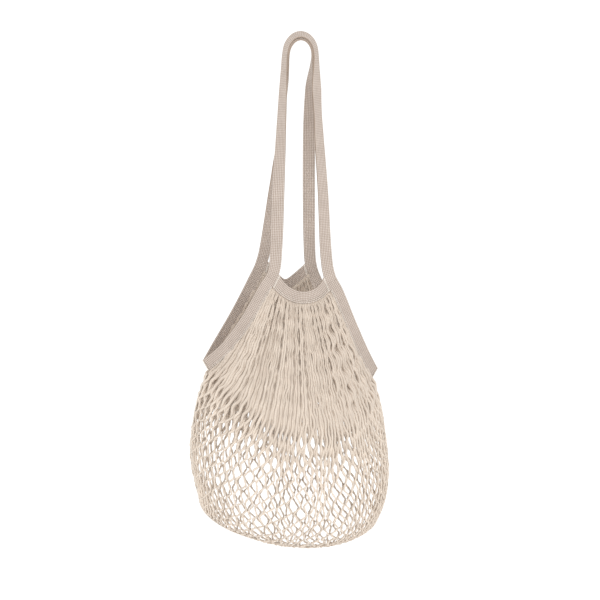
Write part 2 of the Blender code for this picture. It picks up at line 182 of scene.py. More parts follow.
# Deep pleats: place across the panel, depth (mm), and share of the panel's height that they run down.
PLEATS = [(-0.62, 3.4, 0.26), (-0.52, 2.8, 0.30), (-0.40, 2.2, 0.22), (0.02, 1.0, 0.12), (0.22, 1.2, 0.12),
          (0.53, 3.0, 0.34), (0.66, 1.6, 0.16)]
PLEAT_WIDTH = 0.024
RIBS, RIB_DEPTH = 10.5, 1.9 * MM            # small ribs across half of the panel, under the rim
BROAD_FOLDS, BROAD_DEPTH = 2.3, 1.2 * MM    # and broad folds
PLY_TURN = 17 * MM              # two plies of a stretched strand wind round each other once in this
RIM_GATHER = 1.25               # cells packed at the rim, against the belly
GATHER_END = 0.45               # share of the panel's height where the side opening ends
ROW_GROWTH = 0.1                # rows are this much longer at the rim than at the bottom seam
TUCK = 2.0 * MM                 # length of strand hidden in a tape
RIM_TUCK = np.array([0.010, 0.004])         # a strand's first points lie this far above the rim's foot
CROSSING_JITTER, ROW_JITTER = 0.35 * MM, 0.10
# Each pair is a strand's value where the load stretches it, and where it hangs slack.
CURL = (0.25, 0.75)             # 0 for a straight zigzag, 1 for one that eases into its crossings
BESIDE = (0.92, 0.66)           # shift away from its neighbour at a crossing, in half widths
LIE = (0.35 * MM, 0.50 * MM)    # rise and fall of the strand, over and under its neighbours
PLY_SHARE = (0.60, 0.56)        # radius of a ply, as a share of the strand's half width
PLY_SPREAD = (1.0, 1.15)
GROOVE_SHADE = (0.10, 0.46)           # painted shade on the strand's flanks

# Looks.
TAPE_COTTON = (0.645, 0.577, 0.53)
CORD_COTTON = (0.72, 0.63, 0.54)
THREAD_COTTON = (0.74, 0.68, 0.61)
# Dark cotton: the colour of the yarn's dark specks, and also the painted shade that hollows and grooves are
# darkened towards.
SPECK_AND_SHADE_DARK = (0.25, 0.18, 0.13)

RANDOM = np.random.default_rng(24)

# Places that the record gives.
HOOK = Vector(frame["record"]["mounts"][0]["pos_m"])


# --- lines and surfaces ---

def smooth_step(x):
    x = np.clip(x, 0.0, 1.0)
    return x * x * (3 - 2 * x)


def settle(points):
    """Where points of the evenly hung bag lie once the load has settled."""
    x, z = points[..., 0], points[..., 2]
    upper = smooth_step((LEAN_FROM - z) / (LEAN_FROM - LEAN_FULL))
    lower = smooth_step((LOAD_FROM - z) / (LOAD_FROM - LOAD_FULL))
    moved = np.array(points, float)
    moved[..., 0] += LOAD_SWAY * lower
    moved[..., 2] -= (LEAN * upper + LOAD_LEAN * lower) * x
    return moved


def arch_share(heights):
    """0 below the arches, and 1 at the hook, where they are fully turned."""
    return smooth_step((heights - YAW_FROM) / (YAW_FULL - YAW_FROM))


def yawed(vectors, heights):
    """Vectors of the handles at these heights, turned with the arches on the hook."""
    share = arch_share(heights)
    cos, sin = np.cos(ARCH_YAW * share), np.sin(ARCH_YAW * share)
    x, y = vectors[..., 0], vectors[..., 1]
    return np.stack([x * cos - y * sin, x * sin + y * cos, vectors[..., 2]], axis=-1)


def arch_turn(points):
    """Points of the handles, turned and shifted with the arches on the hook."""
    moved = yawed(points, points[..., 2])
    moved[..., 0] += ARCH_SHIFT * arch_share(points[..., 2])
    return moved


def unit(vectors):
    return vectors / np.linalg.norm(vectors, axis=-1, keepdims=True)


def smooth_line(points):
    """A fine polyline on a smooth curve through points."""
    points = np.asarray(points, float)
    ends = np.vstack([2 * points[0] - points[1], points, 2 * points[-1] - points[-2]])
    u = (np.arange(CURVE_STEPS) / CURVE_STEPS)[:, None]
    spans = []
    for a, b, c, d in zip(ends, ends[1:], ends[2:], ends[3:]):
        spans.append(0.5 * (2 * b + (c - a) * u + (2 * a - 5 * b + 4 * c - d) * u ** 2
                            + (3 * b - a - 3 * c + d) * u ** 3))
    return np.vstack(spans + [points[-1:]])


def lengths_along(line):
    return np.concatenate([[0.0], np.cumsum(np.linalg.norm(np.diff(line, axis=0), axis=1))])


def sample(line, values, where):
    """The line's rows, known at rising values, read at the places where."""
    return np.stack([np.interp(where, values, column) for column in line.T], axis=-1)


def evenly(line, count):
    lengths = lengths_along(line)
    return sample(line, lengths, np.linspace(0, lengths[-1], count))


def runs_of(line):
    return unit(np.gradient(line, axis=0))


def waves(count, low, high, seed):
    """A smooth random function of one value, between about -1 and 1."""
    random = np.random.default_rng(seed)
    rates = random.uniform(low, high, count)
    shifts = random.uniform(0, 2 * math.pi, count)
    return lambda x: sum(np.sin(r * x + s) for r, s in zip(rates, shifts)) / count ** 0.5 / 1.4


# --- mesh making ---

def make_piece(name, verts, faces, material, uv=None, hollow=None):
    """A smooth-shaded mesh. uv is a pair for each corner of each face, and the last argument is a value of
    painted shade for each vertex.
    """
    mesh = bpy.data.meshes.new(name)
    mesh.from_pydata(verts.tolist(), [], faces)
    mesh.polygons.foreach_set("use_smooth", np.ones(len(mesh.polygons), bool))
    if uv is not None:
        layer = mesh.uv_layers.new(name="knit")
        corners = np.zeros((len(mesh.loops), 2))
        corners[:len(uv)] = uv
        layer.data.foreach_set("uv", corners.ravel())
    if hollow is not None:
        values = mesh.attributes.new("hollow", "FLOAT", "POINT")
        values.data.foreach_set("value", hollow.astype(np.float32))
    mesh.materials.append(material)
    mesh.update()
    piece = bpy.data.objects.new(name, mesh)
    bpy.context.scene.collection.objects.link(piece)
    return piece


def tube_faces(rings, size, first=0):
    """Quads of a closed tube of rings, and its two caps."""
    row = np.arange(rings - 1)[:, None] * size + first
    a = row + np.arange(size)[None, :]
    b = row + (np.arange(size)[None, :] + 1) % size
    quads = np.stack([a, b, b + size, a + size], axis=-1).reshape(-1, 4)
    last = first + (rings - 1) * size
    caps = [list(range(first + size - 1, first - 1, -1)), list(range(last, last + size))]
    return quads, caps


def tube_uv(lengths, size, turn):
    """Corner coordinates for tube_faces: x round the tube, y along it in turns of the yarn."""
    x = np.arange(size) / size
    y = lengths / turn
    low, high = y[:-1, None], y[1:, None]
    x0 = np.broadcast_to(x[None, :], (len(y) - 1, size))
    x1 = x0 + 1 / size
    y0 = np.broadcast_to(low, x0.shape)
    y1 = np.broadcast_to(high, x0.shape)
    return np.stack([x0, y0, x1, y0, x1, y1, x0, y1], axis=-1).reshape(-1, 2)


class Bundle:
    """Tubes gathered into one mesh."""

    def __init__(self):
        self.verts, self.quads, self.caps, self.uv, self.hollow = [], [], [], [], []
        self.count = 0

    def add(self, line, normals, radius, sides, turn=2.2 * MM, flat=1.0, hollow=0.0, groove=0.0):
        """A tube on a line. flat is its height along the normals as a share of its width.

        The last two paint shade on it: how deep it lies among its neighbours, and how much more its flanks
        are shaded.
        """
        runs = runs_of(line)
        normals = unit(normals - runs * np.sum(normals * runs, axis=-1, keepdims=True))
        other = np.cross(runs, normals)
        angles = np.arange(sides) * 2 * math.pi / sides
        radius = np.broadcast_to(radius, len(line))[:, None, None]
        ring = (normals[:, None, :] * np.sin(angles)[None, :, None] * flat
                + other[:, None, :] * np.cos(angles)[None, :, None]) * radius
        points = line[:, None, :] + ring
        quads, caps = tube_faces(len(line), sides, self.count)
        self.verts.append(points.reshape(-1, 3))
        self.quads.append(quads)
        self.caps.extend(caps)
        self.uv.append(tube_uv(lengths_along(line), sides, turn))
        # Painted shade: the tube is darkened by its depth among its neighbours, and more on its flanks.
        flank = (1 - np.abs(np.sin(angles))) ** 1.5
        depth = (np.broadcast_to(hollow, len(line))[:, None]
                 + np.broadcast_to(groove, len(line))[:, None] * flank[None, :])
        self.hollow.append(depth.ravel())
        self.count += len(line) * sides

    def piece(self, name, material):
        faces = np.vstack(self.quads).tolist() + self.caps
        return make_piece(name, np.vstack(self.verts), faces, material, np.vstack(self.uv),
                          np.concatenate(self.hollow))


# --- materials ---

def maths(tree, operation, a, b=None):
    node = tree.nodes.new("ShaderNodeMath")
    node.operation = operation
    for socket, value in zip(node.inputs, (a, b)):
        if isinstance(value, (int, float)):
            socket.default_value = value
        elif value is not None:
            tree.links.new(value, socket)
    return node.outputs[0]


def set_inputs(node, values):
    for name, value in values.items():
        node.inputs[name].default_value = value


def noise(tree, place, scale, detail=3.0, roughness=0.6):
    node = tree.nodes.new("ShaderNodeTexNoise")
    set_inputs(node, {"Scale": scale, "Detail": detail, "Roughness": roughness})
    tree.links.new(place, node.inputs["Vector"])
    return node.outputs["Fac"]


def ramp(tree, value, low, high, to_low=0.0, to_high=1.0):
    node = tree.nodes.new("ShaderNodeMapRange")
    set_inputs(node, {"From Min": low, "From Max": high, "To Min": to_low, "To Max": to_high})
    tree.links.new(value, node.inputs["Value"])
    return node.outputs["Result"]


def mixed(tree, share, a, b):
    """Colour a turning into colour b. Each is a colour or a socket."""
    node = tree.nodes.new("ShaderNodeMix")
    node.data_type = "RGBA"
    tree.links.new(share, node.inputs["Factor"])
    for socket, value in ((node.inputs[6], a), (node.inputs[7], b)):
        if isinstance(value, tuple):
            socket.default_value = (*value, 1.0)
        else:
            tree.links.new(value, socket)
    return node.outputs[2]


def bump(tree, height, depth, under=None):
    node = tree.nodes.new("ShaderNodeBump")
    set_inputs(node, {"Strength": 1.0, "Distance": depth})
    tree.links.new(height, node.inputs["Height"])
    if under is not None:
        tree.links.new(under, node.inputs["Normal"])
    return node.outputs["Normal"]


def cotton(name, base, relief, relief_depth, painted_shade_share):
    """Undyed cotton yarn. relief builds the height of its stitches or its ply from the uv map, and the
    colour carries painted shade.
    """
    material = bpy.data.materials.new(name)
    material.use_nodes = True
    tree = material.node_tree
    shader = tree.nodes["Principled BSDF"]
    place = tree.nodes.new("ShaderNodeTexCoord").outputs["Object"]
    uv = tree.nodes.new("ShaderNodeUVMap")
    uv.uv_map = "knit"
    split = tree.nodes.new("ShaderNodeSeparateXYZ")
    tree.links.new(uv.outputs["UV"], split.inputs[0])
    height = relief(tree, split.outputs["X"], split.outputs["Y"])
    hollow = tree.nodes.new("ShaderNodeAttribute")
    hollow.attribute_name = "hollow"

    blotches = ramp(tree, noise(tree, place, 55.0), 0.35, 0.68)
    flecks = ramp(tree, noise(tree, place, 900.0, detail=2.0), 0.35, 0.75)
    specks = ramp(tree, noise(tree, place, 420.0, detail=4.0, roughness=0.75), 0.66, 0.76)
    pale = tuple(c * 1.25 for c in base)
    colour = mixed(tree, maths(tree, "MULTIPLY", blotches, 0.55), base, pale)
    colour = mixed(tree, maths(tree, "MULTIPLY", flecks, 0.22), colour, tuple(c * 0.8 for c in base))
    colour = mixed(tree, maths(tree, "MULTIPLY", specks, 0.30), colour, SPECK_AND_SHADE_DARK)
    # Painted shade: the colour turns dark where the vertex value marks shade, and in the low parts of the
    # stitches or plies.
    groove = maths(tree, "SUBTRACT", 1.0, height)
    depth = maths(tree, "ADD", maths(tree, "MULTIPLY", hollow.outputs["Fac"], painted_shade_share),
                  maths(tree, "MULTIPLY", groove, 0.15))
    colour = mixed(tree, maths(tree, "MINIMUM", depth, 0.9), colour, SPECK_AND_SHADE_DARK)
    tree.links.new(colour, shader.inputs["Base Color"])

    fibres = noise(tree, place, 2600.0, detail=2.0)
    normal = bump(tree, height, relief_depth)
    tree.links.new(bump(tree, fibres, 0.12 * MM, normal), shader.inputs["Normal"])
    tree.links.new(ramp(tree, flecks, 0.0, 1.0, 0.82, 0.96), shader.inputs["Roughness"])
    set_inputs(shader, {"Specular IOR Level": 0.25, "Sheen Weight": 0.25, "Sheen Roughness": 0.5,
                        "Sheen Tint": (1.0, 0.95, 0.88, 1.0)})
    return material


def knit_relief(tree, along, across):
    """Rows of V-shaped loops. along counts courses and across counts wales."""
    middle = maths(tree, "ABSOLUTE", maths(tree, "SUBTRACT", maths(tree, "FRACT", across), 0.5))
    rise = maths(tree, "SUBTRACT", along, maths(tree, "MULTIPLY", middle, 1.5))
    loop = maths(tree, "ABSOLUTE", maths(tree, "SUBTRACT", maths(tree, "FRACT", rise), 0.5))
    loops = maths(tree, "SUBTRACT", 1.0, maths(tree, "MULTIPLY", maths(tree, "POWER", loop, 2.0), 3.4))
    rib = maths(tree, "SUBTRACT", 1.0, maths(tree, "MULTIPLY", maths(tree, "POWER", middle, 3.0), 5.0))
    return maths(tree, "MULTIPLY", loops, rib)


def ply_relief(tree, around, along):
    """Two plies twisted round each other, each with fine fibres that follow the twist."""
    twist = maths(tree, "FRACT", maths(tree, "MULTIPLY", maths(tree, "ADD", along, around), 2.0))
    edge = maths(tree, "ABSOLUTE", maths(tree, "SUBTRACT", twist, 0.5))
    return maths(tree, "SUBTRACT", 1.0, maths(tree, "MULTIPLY", maths(tree, "POWER", edge, 2.0), 3.2))


def floor_paper():
    """Matt white studio paper with a faint tooth."""
    material = bpy.data.materials.new("studio_paper")
    material.use_nodes = True
    tree = material.node_tree
    shader = tree.nodes["Principled BSDF"]
    place = tree.nodes.new("ShaderNodeTexCoord").outputs["Object"]
    tooth = noise(tree, place, 3.0)
    tree.links.new(mixed(tree, tooth, (0.93, 0.93, 0.93), (0.96, 0.96, 0.96)), shader.inputs["Base Color"])
    set_inputs(shader, {"Roughness": 1.0, "Specular IOR Level": 0.0, "Emission Color": (1.0, 1.0, 1.0, 1.0),
                        "Emission Strength": 0.12})
    return material


# --- knitted tape ---

def v_sag(share, half_width, roundness):
    """Depth of a rounded V at a share of its half width: 1 at its middle and 0 at its ends."""
    climb = np.hypot(share * half_width, roundness) - roundness
    return 1 - climb / (math.hypot(half_width, roundness) - roundness)


def rim_point(face, share, edge):
    """Points of a rim's edge, share from -1 (left) to 1 (right), before the load settles."""
    share = np.asarray(share, float)
    if face < 0:
        radius, end = FRONT_RIM[edge]
        x = radius * np.sin(share * end)
        z = RIM_CENTRE_Z - radius * np.cos(share * end)
        sag = (np.cos(share * end) - math.cos(end)) / (1 - math.cos(end))
    else:
        half_width, middle, rise, roundness = BACK_RIM[edge]
        sag = v_sag(share, half_width, roundness)
        x = share * half_width
        z = middle + rise * (1 - sag)
    depth = RIM_DEPTH_END + (RIM_DEPTH_MIDDLE - RIM_DEPTH_END) * sag
    return np.stack([x, face * depth, z], axis=-1)


class TapePath:
    """One handle tape and the two side tapes it runs on into, from left low point to right low point."""

    def __init__(self, face):
        leg, side = LEG[face], SIDE_TAPE[face]
        radius = leg[-1][1]
        lift = ARCH_LIFT[face]
        height = lift - leg[-1][0]
        turns = np.radians(ARCH_TURNS)
        arch = [(radius * math.cos(a), 0, lift - height * (1 - math.sin(a))) for a in turns]
        right = [(x, face * y, z) for z, x, y in reversed(leg)] + [(x, face * y, z) for x, y, z in side]
        left = [(-x, y, z) for x, y, z in reversed(right)]
        self.line = smooth_line(arch_turn(settle(np.array(left + arch + right) * MM)))
        self.at = lengths_along(self.line)
        self.runs = runs_of(self.line)
        self.face = face
        side_rows = len(side) * CURVE_STEPS
        hinge_rows = (side_rows, len(self.line) - 1 - side_rows)
        self.hinges = [self.at[row] for row in hinge_rows]
        self.end = self.at[-1]
        self.normals = self._normals()

    def _normals(self):
        front = np.array([0.0, self.face, 0.0])
        found = np.zeros_like(self.line)
        for row, (point, run, s) in enumerate(zip(self.line, self.runs, self.at)):
            side = -1 if point[0] < 0 else 1
            below = max(self.hinges[0] - s, s - self.hinges[1])
            if below > 0:
                share = below / (self.hinges[0] if side < 0 else self.end - self.hinges[1])
                end = np.array([side, self.face, 1]) * SIDE_END_NORMAL
                found[row] = front * (1 - share) + end * share
            else:
                heights, degrees = zip(*TWIST[side])
                over = ARCH_FACES_FRONT[self.face] * arch_share(point[2])
                angle = math.radians(np.interp(point[2] / MM, heights, degrees) - over)
                outward = unit(np.cross(run, yawed(PLUS_Y, point[2])))
                face = yawed(front, point[2])
                found[row] = face * math.cos(angle) + outward * math.sin(angle)
        found -= self.runs * np.sum(found * self.runs, axis=1, keepdims=True)
        return unit(found)

    def read(self, where):
        """Points, runs and normals at lengths along the tape."""
        return (sample(self.line, self.at, where), unit(sample(self.runs, self.at, where)),
                unit(sample(self.normals, self.at, where)))


def section(columns):
    """Places across a tape from -1 to 1 on its face and back again behind, and which side each is on."""
    front = np.linspace(-1, 1, columns)
    back = front[-2:0:-1]
    return np.concatenate([front, back]), np.concatenate([np.ones(columns), -np.ones(columns - 2)])


def knit_height(along, across):
    """How far a stitch stands up, 0 to 1, at lengths along and across the tape."""
    course = np.sin(math.pi * along / COURSE) ** 2
    wale = np.sin(math.pi * across / WALE) ** 2
    return (course + wale) / 2


def tape_offsets(where, seed):
    """Shape of a tape's section at each length: share across, height over the middle, and painted shade,
    darker between the stitches and towards the rounded edges.
    """
    u, side = section(TAPE_COLUMNS)
    u = np.broadcast_to(u, (len(where), len(u)))
    edge = np.clip((np.abs(u) - (1 - EDGE_SHARE)) / EDGE_SHARE, 0, 1)
    rounding = np.sqrt(np.clip(1 - edge ** 2, 0, 1))
    roll = EDGE_ROLL * np.exp(-((1 - np.abs(u)) / (1.6 * EDGE_SHARE)) ** 2)
    stitch = knit_height(where[:, None] + 0.2 * MM * side, (u + 1) * TAPE_WIDTH / 2)
    slack = waves(4, 30, 160, seed)(where)[:, None] * TAPE_SLACK
    relief = (stitch - KNIT_MIDDLE) * KNIT_DEPTH * rounding
    height = side * ((TAPE_HALF_THICKNESS + roll) * rounding + relief)
    return u, height + slack, 1 - stitch * rounding ** 0.5


def tape_piece(name, centre, across, normals, where, seed, material):
    """A knitted tape. across is the half-width vector of each section, where its length along the tape."""
    u, height, hollow = tape_offsets(where, seed)
    points = (centre[:, None, :] + across[:, None, :] * u[:, :, None]
              + normals[:, None, :] * height[:, :, None])
    size = points.shape[1]
    quads, caps = tube_faces(len(where), size)
    x = where / COURSE
    y = (u[0] + 1) * TAPE_WIDTH / 2 / WALE
    y_next = np.roll(y, -1)
    y_next[-1] = y[0]
    shape = (len(where) - 1, size)
    x0 = np.broadcast_to(x[:-1, None], shape)
    x1 = np.broadcast_to(x[1:, None], shape)
    y0 = np.broadcast_to(y[None, :], shape)
    y1 = np.broadcast_to(y_next[None, :], shape)
    uv = np.stack([x0, y0, x0, y1, x1, y1, x1, y0], axis=-1).reshape(-1, 2)
    return make_piece(name, points.reshape(-1, 3), quads.tolist() + caps, material, uv, hollow.ravel())


def stitch_row(bundle, line, normals):
    """A row of short stitches that dive into the tape at their ends."""
    reach = lengths_along(line)
    arc = np.sin(np.linspace(0, math.pi, STITCH_SAMPLES))[:, None]
    rise = (arc - STITCH_SINK) * STITCH_RADIUS * STITCH_ARCH
    for start in np.arange(STITCH_SPACE, reach[-1] - STITCH, STITCH + STITCH_SPACE):
        where = start + np.linspace(0, STITCH, STITCH_SAMPLES)
        points = sample(line, reach, where)
        faces = unit(sample(normals, reach, where))
        # Painted shade on the flanks of each stitch.
        bundle.add(points + faces * rise, faces, STITCH_RADIUS, 6, turn=1.1 * MM, groove=0.6)


# --- the net ---

class NetPanel:
    """The net's surface: v from 0 at the rim to 1 at the bottom seam, t from -1 (left) to 1 (right)."""

    def __init__(self, face):
        self.face = face
        self.shares = np.linspace(0, 1, PANEL_SAMPLES)
        self.sides = {side: self._side_line(side) for side in (-1, 1)}
        self.middle = self._middle_line()

    def _side_line(self, side):
        start = rim_point(self.face, side, "foot") - np.array([0, 0, NET_UNDER_RIM])
        route = [(*LEG[self.face][0][1:], LEG[self.face][0][0])] + SIDE_TAPE[self.face]
        line = smooth_line(np.array([(side * x, self.face * y, z) for x, y, z in route]) * MM)
        share = np.linspace(0, 1, len(line))[:, None]
        end = np.array([side, self.face, 1]) * SIDE_END_NORMAL
        runs = runs_of(line)
        normals = (1 - share) * self.face * PLUS_Y + share * end
        normals = unit(normals - runs * np.sum(normals * runs, axis=1, keepdims=True))
        # The tape's net edge is the lower and inner one.
        inward = np.cross(runs, normals) * -side * self.face
        way = np.array([side, 1, 1]) * NET_EDGE_WAY
        edge = line + inward * TAPE_WIDTH / 2 + way * EDGE_TO_NET
        edge = edge[(edge[:, 2] < start[2] - RIM_CLEARANCE) & (self.face * edge[:, 1] > 0)]
        upper = evenly(np.vstack([start, edge]), SIDE_SAMPLES)
        lower = smooth_line([(side * x * MM, self.face * SEAM_GAP, z * MM) for x, z in SIDE_SEAM])
        return evenly(np.vstack([upper, evenly(lower, SIDE_SAMPLES)]), PANEL_SAMPLES)

    def _middle_line(self):
        top = (0, self.face * NET_TOP_DEPTH, rim_point(self.face, 0, "foot")[2] - RIM_TO_NET)
        upper = smooth_line([top] + [(0, self.face * y * MM, z * MM) for y, z in CENTRE_LINE])
        belly = upper[-1]
        turn = np.linspace(0, math.pi / 2, BELLY_SAMPLES)[1:]
        y = belly[1] * np.cos(turn) + self.face * SEAM_GAP * np.sin(turn)
        z = belly[2] + (BOTTOM_Z - belly[2]) * np.sin(turn)
        return evenly(np.vstack([upper, np.stack([0 * y, y, z], axis=-1)]), PANEL_SAMPLES)

    def _bulge(self, v, t):
        """Share of the way from the side edge to the middle line, across and outward."""
        spread = SPREAD_TOP + (SPREAD_LOW - SPREAD_TOP) * smooth_step(v / SPREAD_LOW_AT)
        spread = spread + (1 - spread) * smooth_step((v - FILL_FROM) / FILL_OVER)
        half = spread * math.pi / 2
        reach = np.abs(np.sin(half * t) / np.sin(half))
        fullness = (np.cos(half * t) - np.cos(half)) / (1 - np.cos(half))
        if self.face > 0:
            half_width, _, _, roundness = BACK_RIM["foot"]
            sag = v_sag(reach, half_width, roundness)
            fullness = sag + (fullness - sag) * smooth_step(v / RIM_SHAPE_OVER)
        return reach, fullness

    def _on_panel(self, v, t):
        reach, fullness = self._bulge(v, t)
        left = sample(self.sides[-1], self.shares, v)
        right = sample(self.sides[1], self.shares, v)
        side = np.where(t[..., None] > 0, right, left)
        middle = sample(self.middle, self.shares, v)
        return settle(np.stack([side[..., 0] * reach,
                                side[..., 1] + (middle[..., 1] - side[..., 1]) * fullness,
                                side[..., 2] + (middle[..., 2] - side[..., 2]) * fullness], axis=-1))

    def point(self, v, t):
        """Points of the panel. Above the rim line (v below 0) it runs straight on."""
        inside = np.maximum(v, 0.0)
        base = self._on_panel(inside, t)
        ahead = self._on_panel(inside + 0.01, t)
        return base + (ahead - base) / 0.01 * np.minimum(v, 0.0)[..., None]

    def cut(self):
        """The panel's greatest width and length and its area, measured over its surface."""
        v, t = np.meshgrid(np.linspace(0, 1, CUT_SAMPLES), np.linspace(-1, 1, CUT_SAMPLES), indexing="ij")
        points = self.point(v, t)
        down, across = np.diff(points, axis=0), np.diff(points, axis=1)
        area = np.linalg.norm(np.cross(down[:, :-1], across[:-1]), axis=-1).sum()
        width = np.linalg.norm(across, axis=-1).sum(axis=1).max()
        length = np.linalg.norm(down, axis=-1).sum(axis=0).max()
        return width, length, area

    def axes(self, v, t):
        """Unit directions down the panel, across it and outward, and its width for each unit of t."""
        step = 0.004
        v = np.clip(v, step, 1 - step)
        t = np.clip(t, -1 + step, 1 - step)
        down = unit(self._on_panel(v + step, t) - self._on_panel(v - step, t))
        across = self._on_panel(v, t + step) - self._on_panel(v, t - step)
        width = np.linalg.norm(across, axis=-1) / (2 * step)
        across = unit(across)
        out = unit(np.cross(down, across))
        return down, across, out * np.sign(out[..., 1:2] * self.face + 1e-9), width


def gather(v):
    """How much closer the cells are packed than at the belly."""
    share = np.clip(v / GATHER_END, 0, 1)
    return 1 + (RIM_GATHER - 1) * (1 - share) ** 1.5


def folds(v, c, seed):
    """Pleats that run down from the rim, as an offset outward."""
    bend = waves(3, 2, 6, seed)
    ribs = np.sin(2 * math.pi * RIBS * c + 0.9 * bend(v + c)) * (1 - smooth_step((v - 0.16) / 0.40))
    broad = np.sin(2 * math.pi * BROAD_FOLDS * c + 1.1 + 0.8 * bend(v))
    broad *= 1 - smooth_step((v - 0.20) / 0.40)
    pleats = 0
    for place, depth, reach in PLEATS:
        drawn = np.exp(-((c - place - 0.02 * bend(2 * v + place)) / PLEAT_WIDTH) ** 2)
        pleats = pleats - depth * MM * drawn * (1 - smooth_step((v - reach) / 0.15))
    start = smooth_step(v / 0.015)
    return (RIB_DEPTH * ribs + BROAD_DEPTH * broad * smooth_step(v / 0.12) + pleats) * start


def crowding(v, c, seed):
    """Sideways drift of the cells, so that some stand open and others are drawn together."""
    drift = waves(5, 3, 13, seed)
    shift = waves(3, 4, 11, seed + 1)
    amount = (0.012 + 0.010 * smooth_step((v - 0.3) / 0.3)) * smooth_step(v / 0.2) * (1 - c ** 4)
    return amount * (drift(c * 1.5 + 0.8 * v) + 0.5 * shift(v * 2 - c))


def strand_runs(beyond, spacing):
    """Stretches of a strand on the panel, or so close beyond its edge that it lies along it."""
    inside = beyond <= spacing
    edges = np.flatnonzero(np.diff(np.concatenate([[0], inside.astype(int), [0]])))
    return [(a, b) for a, b in zip(edges[::2], edges[1::2]) if b - a > 3]


def slackness(v):
    """1 where the net hangs slack, 0 where the load stretches it."""
    return 1 - smooth_step((v - SLACK_TO) / (OPEN_FROM - SLACK_TO))


def by_slack(pair, slack):
    """A value between its stretched one and its slack one."""
    return pair[0] + (pair[1] - pair[0]) * slack


def crossing_jitter():
    """Small random shifts of the crossings, across the panel and down it (in rows)."""
    shape = (2 * CELLS + 2, HALF_ROWS + 1)
    across = RANDOM.normal(0, CROSSING_JITTER, shape)
    down = RANDOM.normal(0, ROW_JITTER, shape)
    across[[0, 2 * CELLS]] = 0.0
    down[:, [0, -1]] = 0.0
    return across, down


class Strand:
    """One zigzag strand of the net, which meets a neighbour at a crossing in each half row."""

    rows = np.arange(HALF_ROWS * SPAN_SAMPLES + 1) / SPAN_SAMPLES
    row = np.minimum(rows.astype(int), HALF_ROWS - 1)
    part = rows - row
    at_crossing = np.abs(2 * part - 1) ** 4

    def __init__(self, number, jitter_down):
        self.number = number
        self.crossings = np.array([number + (number + row) % 2 for row in range(HALF_ROWS + 1)])
        curl = by_slack(CURL, slackness(self.rows / HALF_ROWS))
        self.ease = self.part + (smooth_step(self.part) - self.part) * curl
        self.c = self.along(self.crossings) / CELLS - 1
        share = np.clip((self.rows + self.at_crossings(jitter_down)) / HALF_ROWS, 0, 1)
        self.v = share * (1 + ROW_GROWTH * (1 - share))
        self.v[:2] -= RIM_TUCK

    def along(self, values):
        """Values given at the crossings, read along the strand."""
        return values[self.row] * (1 - self.ease) + values[self.row + 1] * self.ease

    def at_crossings(self, jitter):
        return self.along(jitter[self.crossings, np.arange(HALF_ROWS + 1)])

    def lay(self, face, panel, jitter_across):
        """Lay the strand's middle line on the panel, and find how wide, deep and slack it is there."""
        near = np.maximum(self.v, 0)
        t = (self.c + crowding(self.v, self.c, 5 + face)) * gather(near)
        panel_width = np.abs(panel.point(near, np.ones_like(t))[:, 0])
        limit = np.where(near < GATHER_END + 0.01, 1 + TUCK / np.maximum(panel_width, 20 * MM), 1.001)
        self.beyond = np.abs(t) - limit
        t = np.clip(t, -limit, limit)
        self.slack = slackness(near)
        _, self.across, self.out, width = panel.axes(near, t)
        cover = width * gather(near) / CELLS / 2 * SLACK_COVER
        half = STRAND_RADIUS + (np.maximum(cover, 0.8 * MM) - STRAND_RADIUS) * self.slack
        uneven = 1 + 0.07 * waves(3, 0.5, 2.5, 100 + self.number)(self.rows)
        self.half = half * (1 + 0.10 * self.at_crossing) * uneven
        side_on = self.along(1 - 2 * (self.crossings - self.number)) * by_slack(BESIDE, self.slack)
        loose = np.clip((1.02 - np.abs(t)) / 0.1, 0, 1) * smooth_step(near / 0.02)
        aside = side_on * self.half + self.at_crossings(jitter_across) * loose
        self.pleat = folds(near, self.c, 31 + face)
        lie = np.sin(math.pi * (self.rows + 0.5 * self.number)) * by_slack(LIE, self.slack)
        hidden = 1 - smooth_step(self.v / 0.018)
        lift = (self.pleat + lie) * loose + 0.2 * MM - 1.1 * MM * hidden
        self.line = panel.point(self.v, t) + self.across * aside[:, None] + self.out * lift[:, None]

    def add_plies(self, bundle, shade):
        """Two plies. They lie side by side where the strand is slack and wind round each other below."""
        # Painted shade: darker at the crossings where the net is stretched, and where it hangs slack and
        # closed, most in the deep pleats; the strand's random tone is added to it.
        deep = smooth_step((-self.pleat / MM - 0.5) / 3.0)
        hollow = 0.2 * self.at_crossing * (1 - self.slack) + self.slack * (0.34 + 0.24 * deep) + shade
        groove = by_slack(GROOVE_SHADE, self.slack)
        steps = np.concatenate([[0.0], np.linalg.norm(np.diff(self.line, axis=0), axis=1)])
        wobble = 0.5 * waves(3, 0.4, 1.6, 300 + self.number)(self.rows) * self.slack
        twist = np.cumsum(steps * (1 - self.slack)) * 2 * math.pi / PLY_TURN + wobble
        radius = self.half * by_slack(PLY_SHARE, self.slack)
        for way in (-1, 1):
            apart = way * (self.half - radius) * by_slack(PLY_SPREAD, self.slack)
            ply = (self.line + self.across * (apart * np.cos(twist))[:, None]
                   + self.out * (apart * np.sin(twist))[:, None])
            for first, last in strand_runs(self.beyond, 1 / CELLS):
                run = slice(first, last)
                bundle.add(ply[run], self.out[run], radius[run], PLY_SIDES, turn=3.5 * MM,
                           hollow=hollow[run], groove=groove[run])


def net_piece(face, word, panel, material):
    """Knotless netting: zigzag strands of two plies that run side by side at every crossing."""
    bundle = Bundle()
    jitter_across, jitter_down = crossing_jitter()
    for number in range(2 * CELLS):
        strand = Strand(number, jitter_down)
        strand.lay(face, panel, jitter_across)
        strand.add_plies(bundle, RANDOM.uniform(-0.05, 0.10))
    piece = bundle.piece(f"{word}_net", material)
    width, length, area = panel.cut()
    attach(piece, "bag")
    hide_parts(f"net_{word}")


# --- pieces ---

